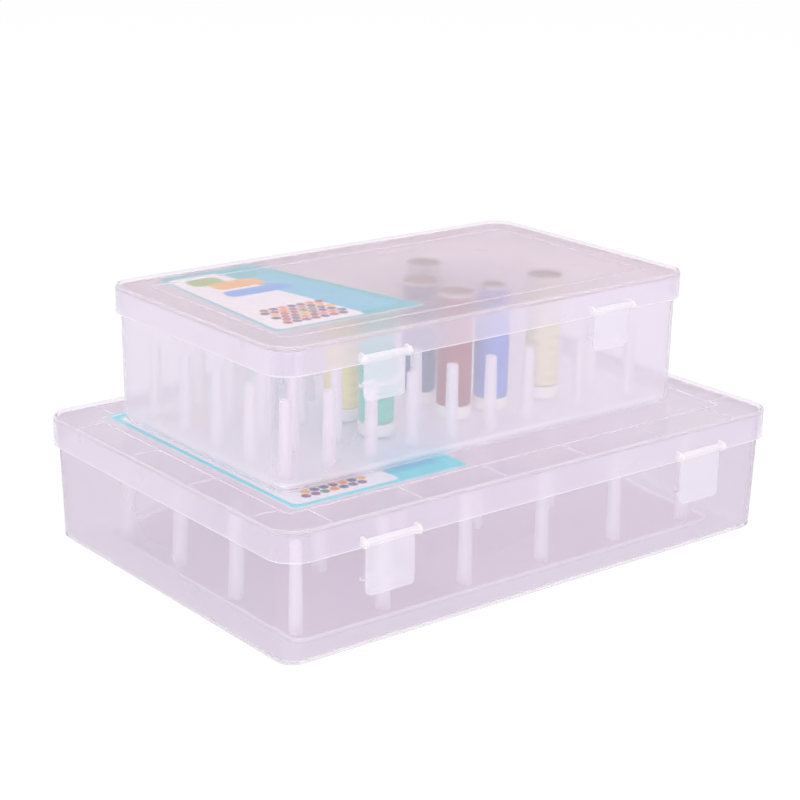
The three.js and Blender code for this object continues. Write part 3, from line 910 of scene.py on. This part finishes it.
def latch_flap(case, x):
    """The flap from the knuckle down to its lip, narrowing at its rounded lower corners."""
    middle = LATCH_STANDOFF - LATCH_REACH + LATCH_PLATE / 2
    end = -case.flap_length
    bend = end + LATCH_LIP_HEIGHT
    spine = [(middle, 0), (middle, bend / 2), (middle, bend)]
    for i in range(1, LIP_STEPS + 1):
        share = i / LIP_STEPS
        spine.append((middle + LATCH_LIP * share * share, bend - LATCH_LIP_HEIGHT * share))
    rings = []
    for i, (u, v) in enumerate(spine):
        before = spine[max(i - 1, 0)]
        after = spine[min(i + 1, len(spine) - 1)]
        along = Vector((after[0] - before[0], after[1] - before[1])).normalized()
        drop = v - end
        short = max(0.0, FLAP_CORNER - drop)
        cut = FLAP_CORNER - math.sqrt(max(0.0, FLAP_CORNER**2 - short**2))
        thin = 1.0 if drop > FLAP_TIP else FLAP_TIP_SHARE
        half_width = case.flap_width / 2 - cut
        normal = (-along.y, along.x)
        rings.append(flap_ring(case, x, (u, v), normal, half_width, LATCH_PLATE / 2 * thin))
    return loft(rings)


def latch_knuckle(case, x):
    """The round knuckle, with two fine grip lines along its front."""
    outline = []
    for i in range(KNUCKLE_FACETS):
        degrees = 360 / KNUCKLE_FACETS * i
        a = math.radians(degrees)
        groove = any(abs(degrees - line) < GRIP_HALF_WIDTH for line in GRIP_LINES)
        radius = LATCH_KNUCKLE - (GRIP_DEPTH if groove else 0)
        outline.append((radius * math.cos(a), radius * math.sin(a)))
    return bar(case, outline, case.flap_width, x, case.pivot, TO_FRONT, edge=0.35)


def latch_hook(case, x):
    """The hook on the back of the flap."""
    inner = LATCH_STANDOFF - LATCH_REACH
    foot = -case.flap_length + LATCH_HOOK_RISE
    outline = [
        (inner + HOOK_ROOT, foot),
        (inner + HOOK_ROOT, foot + LATCH_HOOK_HEIGHT),
        (inner - LATCH_HOOK_DEPTH, foot + LATCH_HOOK_HEIGHT),
        (inner - LATCH_HOOK_DEPTH, foot + LATCH_HOOK_HEIGHT / 2),
        (inner, foot),
    ]
    width = case.flap_width - HOOK_NARROWING
    return bar(case, outline, width, x, case.pivot, TO_FRONT, edge=0.25)


def latch_pin(case, x):
    """The pin through both ears."""
    length = case.flap_width + 2 * (CLEARANCE + LATCH_LUG_WIDTH)
    return bar(case, rod(LATCH_PIN), length, x, case.pivot, TO_FRONT, edge=0.2)


latch_plastic = natural_polypropylene(
    "latch", ("#f9f4fd", "#f2ecf9"), "#fefdff", (0.32, 0.7), roughness=0.3, haze=0.2
)
for case in BOTH:
    for side, x in zip(("left", "right"), case.latches):
        node = f"{case.name}_latch_{side}"
        latch = new_piece(node + "_moulding", latch_flap(case, x))
        combine(latch, [latch_hook(case, x)])
        combine(latch, [latch_knuckle(case, x)])
        combine(latch, [latch_pin(case, x)])
        latch.data.materials.append(latch_plastic)
        latch.data.materials.append(thick_plastic)
        for face in latch.data.polygons:  # the knuckle and the pin
            if face.center.z / MM > case.z + case.pivot[1] - LATCH_KNUCKLE:
                face.material_index = 1
        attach(latch, node)
        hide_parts(node)

# ---------------------------------------------------------------- label cards
# A printed paper card lies loose under each lid: an aqua ground with a lighter ribbon, a white
# field with three short ribbons, and a chart of coloured dots, all in flat inks. It carries
# no words or marks, and its back is plain white.

CARD_THICKNESS = 0.5
CARD_CORNER = 3.0
INK = 0.03  # each ink stands this far above the one below
INK_OVERLAP = 0.9
PAPER_MOTTLE = 1.5
DOT_ROWS = 6
DOT_COLUMNS = 7
DOT_PITCH = 6.0
DOT_ROW_SHARE = 0.87  # of the pitch, so that the dots sit in each other's gaps
DOT_RADIUS = 2.7
DOT_START = (16, 12)


def plate(case, outline, bottom, top):
    """A flat sheet of any outline between two heights."""
    heights = (bottom, top)
    return loft([[(case.x + x, case.y + y, case.z + z) for x, y in outline] for z in heights])


def rounded(corners, radius, facets=5):
    """An outline with each corner rounded by a curve that starts a radius before it."""
    outline = []
    for i, corner in enumerate(corners):
        here = Vector(corner)
        before = (Vector(corners[i - 1]) - here).normalized() * radius + here
        after = (Vector(corners[(i + 1) % len(corners)]) - here).normalized() * radius + here
        for k in range(facets + 1):
            t = k / facets
            point = before * (1 - t) ** 2 + here * 2 * t * (1 - t) + after * t * t
            outline.append((point.x, point.y))
    return outline


def toned(code, *shares):
    """An sRGB hex colour as linear, with red, green and blue each taken times its share."""
    return [min(1, c * share) for c, share in zip(linear(code), shares)] + [1]


# Coated paper, offset printed: flat and even, with a slight gloss from the coating and a faint
# mottle in the ink about 1.5 mm across.
def printed_paper(name, ink):
    material = new_material(name)
    place = add_node(material, "ShaderNodeTexCoord").outputs["Object"]
    mottle = add_node(
        material,
        "ShaderNodeTexNoise",
        {"Vector": place, "Scale": per_metre(PAPER_MOTTLE), "Detail": 3.0},
    )
    deeper = toned(ink, 0.93, 0.93, 0.93)
    fibre = mottle.outputs["Fac"]
    paper = mottled(
        material, fibre, (deeper, linear(ink)), (0.4, 0.55), fibre, depth=0.01, strength=0.3
    )
    add_node(material, "ShaderNodeOutputMaterial", {"Surface": paper.outputs["BSDF"]})
    return material


PAPER_INKS = {
    "aqua": "#2bbcc6",
    "light aqua": "#48e0ea",
    "sky": "#44c4e2",
    "white": "#f5f6fb",
    "ochre": "#f0b12e",
    "leaf": "#86b548",
    "azure": "#3f9aec",
    "red": "#a81226",
    "orange": "#ea7d14",
    "brown": "#50221e",
    "plum": "#6b2672",
    "navy": "#1e3072",
    "green": "#2f8a49",
}
DOT_INKS = ("red", "orange", "brown", "plum", "ochre", "navy", "red", "green")
inks = {name: printed_paper("offset print, " + name, code) for name, code in PAPER_INKS.items()}


def printed_card(case, left, front, width, depth, lean, slant):
    """The card and its inks as one mesh, drawn from its own front left corner."""
    top = case.panel_under - CLEARANCE
    x0 = left - case.length / 2
    y0 = front - case.depth / 2

    def on_card(points):
        """Places points given as shares of the card's width and depth."""
        placed = []
        for across, back in points:
            start = lean * back
            end = width - slant * back
            placed.append((x0 + start + (end - start) * across, y0 + depth * back))
        return placed

    ground = [(0.004, 0.003), (0.996, 0.003), (0.996, 0.997), (0.004, 0.997)]
    layers = [
        ("white", CARD_CORNER, 0, [(0, 0), (1, 0), (1, 1), (0, 1)]),
        (case.ground_ink, CARD_CORNER, 1, ground),
        ("sky", 6, 2, [(0.5, 0.07), (0.92, 0.07), (0.9, 0.84), (0.5, 0.76)]),
        ("white", 5, 3, [(0.03, 0.022), (0.62, 0.022), (0.53, 0.95), (0.03, 0.95)]),
        ("leaf", 6, 4, [(0.14, 0.78), (0.44, 0.78), (0.44, 0.9), (0.14, 0.9)]),
        ("ochre", 5, 5, [(0.24, 0.68), (0.68, 0.68), (0.66, 0.8), (0.24, 0.8)]),
        ("azure", 6, 5, [(0.2, 0.55), (0.74, 0.55), (0.72, 0.65), (0.2, 0.65)]),
    ]
    shapes, used = [], []
    for ink, corner, level_index, corners in layers:
        bottom = top - CARD_THICKNESS
        if level_index:
            bottom = top + INK * (level_index - 1) * INK_OVERLAP
        outline = rounded(on_card(corners), corner)
        shape = plate(case, outline, bottom, top + INK * level_index)
        shapes.append(shape)
        used += [ink] * len(shape[1])
    draw = random.Random(len(case.name) + int(width))
    for row in range(DOT_ROWS):
        for column in range(DOT_COLUMNS):
            cx = x0 + DOT_START[0] + column * DOT_PITCH + (row % 2) * DOT_PITCH / 2
            cy = y0 + DOT_START[1] + row * DOT_PITCH * DOT_ROW_SHARE
            ink = DOT_INKS[draw.randrange(len(DOT_INKS))]
            dot = arc(cx, cy, DOT_RADIUS, 0, 337.5, 15)
            shape = plate(case, dot, top + INK * 2.8, top + INK * 4)
            shapes.append(shape)
            used += [ink] * len(shape[1])
    card = new_piece(case.name + "_printed_card", together(shapes))
    names = list(PAPER_INKS)
    for name in names:
        card.data.materials.append(inks[name])
    return card, [names.index(ink) for ink in used]


LOWER.ground_ink = "light aqua"
UPPER.ground_ink = "aqua"
LOWER.card = dict(left=28.5, front=32.3, width=115.5, depth=186, lean=0, slant=0)
UPPER.card = dict(left=22, front=34.5, width=99, depth=128.5, lean=8, slant=26)
for case in BOTH:
    card, ink_numbers = printed_card(case, **case.card)
    card.data.polygons.foreach_set("material_index", ink_numbers)
    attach(card, case.name + "_lid")
    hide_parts(case.name + "_label_card")

# ---------------------------------------------------------------- spool cores
# Slim cores moulded from white polystyrene: a tall foot, a tube that the thread is wound on
# and a thin head with a dished top, bored from below to drop over a peg.

SPOOL_FOOT_HEIGHT = 7.0
SPOOL_FOOT = 10.4
SPOOL_HEAD_HEIGHT = 3.0
SPOOL_HEAD = 10.4
SPOOL_NARROW_HEAD = 7.6
SPOOL_TUBE = 6.6
SPOOL_DISH = 8.4
SPOOL_DISH_DEPTH = 1.0
SPOOL_CROWN = 9.0
SPOOL_BORE = 4.2
SPOOL_DISH_SLOPE = 0.8
SPOOL_BEVEL = 0.4
SPOOL_FOOT_ROUND = 1
SPOOL_ROUND = 0.5
SPOOL_TOP_ROUND = 0.6
SPOOL_FACETS = 40
SHRINK_WAVES = 6


def core_profile(height, head):
    """Half the outline of a core, from the top of its bore round to the middle of its dish."""
    dish = head - (SPOOL_HEAD - SPOOL_DISH)
    foot, edge, rim = SPOOL_FOOT_ROUND, SPOOL_ROUND, SPOOL_TOP_ROUND
    return [
        (0, height - SPOOL_CROWN),
        (SPOOL_BORE, height - SPOOL_CROWN),
        (SPOOL_BORE, SPOOL_BEVEL),
        (SPOOL_BORE + SPOOL_BEVEL, 0),
        *arc(SPOOL_FOOT - foot, foot, foot, -90, 0, 5),
        *arc(SPOOL_FOOT - edge, SPOOL_FOOT_HEIGHT - edge, edge, 0, 90, 4),
        (SPOOL_TUBE, SPOOL_FOOT_HEIGHT),
        (SPOOL_TUBE, height - SPOOL_HEAD_HEIGHT),
        *arc(head - edge, height - SPOOL_HEAD_HEIGHT + edge, edge, -90, 0, 4),
        *arc(head - rim, height - rim, rim, 0, 90, 4),
        (dish, height),
        (dish - SPOOL_DISH_DEPTH * SPOOL_DISH_SLOPE, height - SPOOL_DISH_DEPTH),
        (0, height - SPOOL_DISH_DEPTH),
    ]


# High-impact polystyrene, injection moulded in a polished tool: opaque warm white with a soft
# gloss and faint shrink waves about 6 mm long. The dished tops are duller and painted a darker
# grey-brown, which is painted shade in their hollow.
def moulded_polystyrene(name, code, roughness):
    material = new_material(name)
    place = add_node(material, "ShaderNodeTexCoord").outputs["Object"]
    waves = add_node(
        material,
        "ShaderNodeTexNoise",
        {"Vector": place, "Scale": per_metre(SHRINK_WAVES), "Detail": 2.0},
    )
    plastic = mottled(
        material,
        waves.outputs["Fac"],
        (toned(code, 0.94, 0.93, 0.94), linear(code)),
        (roughness - 0.06, roughness + 0.1),
        waves.outputs["Fac"],
        depth=0.05,
        strength=0.2,
        more={"IOR": 1.59},
    )
    add_node(material, "ShaderNodeOutputMaterial", {"Surface": plastic.outputs["BSDF"]})
    return material


SPOOLS = {
    "teal": ("#12c4aa", SPOOL_HEAD),
    "crimson": ("#98003f", SPOOL_HEAD),
    "blue": ("#5f7cdc", SPOOL_NARROW_HEAD),
    "cream": ("#ebe0bf", SPOOL_HEAD),
    "yellow": ("#ffe690", SPOOL_HEAD),
    "slate": ("#40589a", SPOOL_HEAD),
    "grey": ("#cfc4c8", SPOOL_HEAD),
}
white_core = moulded_polystyrene("moulded polystyrene, white", "#f7f3ef", 0.34)
# The darker grey-brown is painted shade for the hollow of the dished tops.
dish_painted_shade = moulded_polystyrene("moulded polystyrene, grey-brown top", "#9a898c", 0.5)
ORIGIN = SimpleNamespace(x=0, y=0, z=0)


def standing(node):
    """The middle, foot and height of a packed turned solid, in millimetres."""
    low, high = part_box(node)
    x = (low.x + high.x) / 2 / MM
    y = (low.y + high.y) / 2 / MM
    return x, y, low.z / MM, (high.z - low.z) / MM


for name, (_, head) in SPOOLS.items():
    x, y, foot, height = standing("spool_core_" + name)
    profile = core_profile(height, head)
    core = new_piece(name + "_core", turned(ORIGIN, profile, x, y, foot, SPOOL_FACETS))
    core.data.materials.append(white_core)
    core.data.materials.append(dish_painted_shade)
    # The dished top of each core takes the darker grey-brown, painted shade in the hollow.
    for face in core.data.polygons:
        if face.normal.z > 0.5 and face.center.z / MM > foot + height - SPOOL_DISH_DEPTH - 0.2:
            face.material_index = 1
    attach(core, "spool_" + name)
    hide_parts("spool_core_" + name)

# ---------------------------------------------------------------- threads
# Spun polyester sewing thread, cross wound on each core in a smooth, slightly swollen package
# with soft shoulders.

THREAD_RADIUS = 10.0
THREAD_SWELL = 0.15
THREAD_GAP = 0.3
THREAD_FOOT = 1.2
THREAD_FOOT_ROUND = 0.95
THREAD_SHOULDER = 1.6
NARROW_SHOULDER = 5.0  # under a narrow head
SWELL_STEPS = 12
THREAD_LAY = 12  # degrees
DRAWN_THREAD = 0.9


# Spun polyester, dyed and cross wound: dull silk with a fine diagonal lay. The thread is about
# 0.25 mm thick and is drawn at 0.9 mm, so that the winding shows. A wave texture has about
# twenty bands to one unit of its scale. The colour is darker in the grooves between the lays and
# lighter on their crests, which is painted shade and painted highlight.
def wound_polyester(name, code):
    material = new_material(name)
    place = add_node(material, "ShaderNodeTexCoord").outputs["Object"]
    lays = []
    for lean in (THREAD_LAY, -THREAD_LAY):
        turn_lay = add_node(
            material,
            "ShaderNodeMapping",
            {"Vector": place, "Rotation": (math.radians(lean), math.radians(lean), 0)},
        )
        lays.append(
            add_node(
                material,
                "ShaderNodeTexWave",
                {
                    "Vector": turn_lay.outputs["Vector"],
                    "Scale": per_metre(DRAWN_THREAD) / 20,
                    "Distortion": 1.2,
                    "Detail": 2.0,
                },
                wave_type="BANDS",
                bands_direction="Z",
            )
        )
    crossing = add_node(
        material,
        "ShaderNodeMath",
        {0: lays[0].outputs["Fac"], 1: lays[1].outputs["Fac"]},
        operation="MAXIMUM",
    )
    height = crossing.outputs["Value"]
    # Painted shade and highlight: the same height as the bump darkens the grooves and lightens the
    # crests.
    colour = add_node(
        material,
        "ShaderNodeMix",
        {0: height, 6: toned(code, 0.9, 0.9, 0.9), 7: toned(code, 1.06, 1.06, 1.06)},
        data_type="RGBA",
    )
    bump = add_node(
        material, "ShaderNodeBump", {"Height": height, "Distance": 0.12 * MM, "Strength": 0.6}
    )
    thread = add_node(
        material,
        "ShaderNodeBsdfPrincipled",
        {
            "Base Color": colour.outputs[2],
            "Roughness": 0.62,
            "Sheen Weight": 0.35,
            "Sheen Roughness": 0.4,
            "Normal": bump.outputs["Normal"],
        },
    )
    add_node(material, "ShaderNodeOutputMaterial", {"Surface": thread.outputs["BSDF"]})
    return material


for name, (thread_code, head) in SPOOLS.items():
    x, y, foot, tall = standing("thread_" + name)
    shoulder = THREAD_SHOULDER if head == SPOOL_HEAD else NARROW_SHOULDER
    radius = THREAD_RADIUS - THREAD_SWELL
    inner = SPOOL_TUBE + THREAD_GAP
    body = []
    for i in range(SWELL_STEPS + 1):
        share = i / SWELL_STEPS
        swell = THREAD_SWELL * math.sin(math.pi * share)
        body.append((radius + swell, THREAD_FOOT + (tall - THREAD_FOOT - shoulder) * share))
    slope = []
    for t in (0.25, 0.5, 0.75):
        slope.append((radius - (radius - inner) * t**1.6, tall - shoulder * (1 - t)))
    profile = [
        (inner, 0.05),
        *arc(radius - 1.0, 1.0, THREAD_FOOT_ROUND, -90, -20, 4),
        *body,
        *slope,
        (inner, tall),
    ]
    package = turned(ORIGIN, profile + [profile[0]], x, y, foot, SPOOL_FACETS)
    wound = new_piece(name + "_thread", package)
    wound.data.materials.append(wound_polyester("wound polyester, " + name, thread_code))
    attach(wound, "spool_" + name)
    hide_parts("thread_" + name)

# ---------------------------------------------------------------- floor and light
# A plain white floor under an even sky, one broad soft lamp from the front left and a weaker
# one from above. The floor and the sky look white, and the floor keeps the soft shadow.

FLOOR_SIZE = 8.0
SKY = 0.69
SEEN_WHITE = 0.85  # share of the floor's look that is plain white
WHITE_STRENGTH = 1.05

floor_paint = new_material("matt white paint, floor")
matt = add_node(floor_paint, "ShaderNodeBsdfDiffuse", {"Color": linear("#f6f5f7")})
white = add_node(
    floor_paint, "ShaderNodeEmission", {"Color": (1, 1, 1, 1), "Strength": WHITE_STRENGTH}
)
share = add_node(
    floor_paint, "ShaderNodeMath", {0: seen_ray(floor_paint), 1: SEEN_WHITE}, operation="MULTIPLY"
)
floor_look = add_node(
    floor_paint,
    "ShaderNodeMixShader",
    {0: share.outputs["Value"], 1: matt.outputs["BSDF"], 2: white.outputs["Emission"]},
)
add_node(floor_paint, "ShaderNodeOutputMaterial", {"Surface": floor_look.outputs["Shader"]})
half = FLOOR_SIZE / 2 / MM
corners = [(-half, -half, 0), (half, -half, 0), (half, half, 0), (-half, half, 0)]
floor = new_piece("floor", (corners, [(0, 1, 2, 3)]))
floor.data.materials.append(floor_paint)

world = bpy.data.worlds.new("even sky")
bpy.context.scene.world = world
world.use_nodes = True
world.node_tree.nodes.clear()
sky = add_node(world, "ShaderNodeBackground", {"Color": (1, 1, 1, 1), "Strength": SKY})
plain = add_node(world, "ShaderNodeBackground", {"Color": (1, 1, 1, 1), "Strength": 1.0})
look = add_node(
    world,
    "ShaderNodeMixShader",
    {0: seen_ray(world), 1: sky.outputs["Background"], 2: plain.outputs["Background"]},
)
add_node(world, "ShaderNodeOutputWorld", {"Surface": look.outputs["Shader"]})


def soft_lamp(name, place, size, power):
    """A square soft lamp that faces the middle of the cases."""
    lamp = bpy.data.objects.new(name, bpy.data.lights.new(name, "AREA"))
    lamp.data.shape = "SQUARE"
    lamp.data.size = size
    lamp.data.energy = power
    lamp.location = place
    middle = (cad_low + cad_high) / 2
    lamp.rotation_euler = (middle - lamp.location).to_track_quat("-Z", "Y").to_euler()
    bpy.context.scene.collection.objects.link(lamp)


soft_lamp("front left lamp", Vector((-1.15, -1.4, 1.2)), size=1.4, power=15)
soft_lamp("top lamp", Vector((0.3, 0.4, 2.0)), size=1.6, power=8)

scene = bpy.context.scene
scene.view_settings.view_transform = "Standard"
scene.cycles.transparent_max_bounces = 64  # a line of sight crosses many thin clear walls
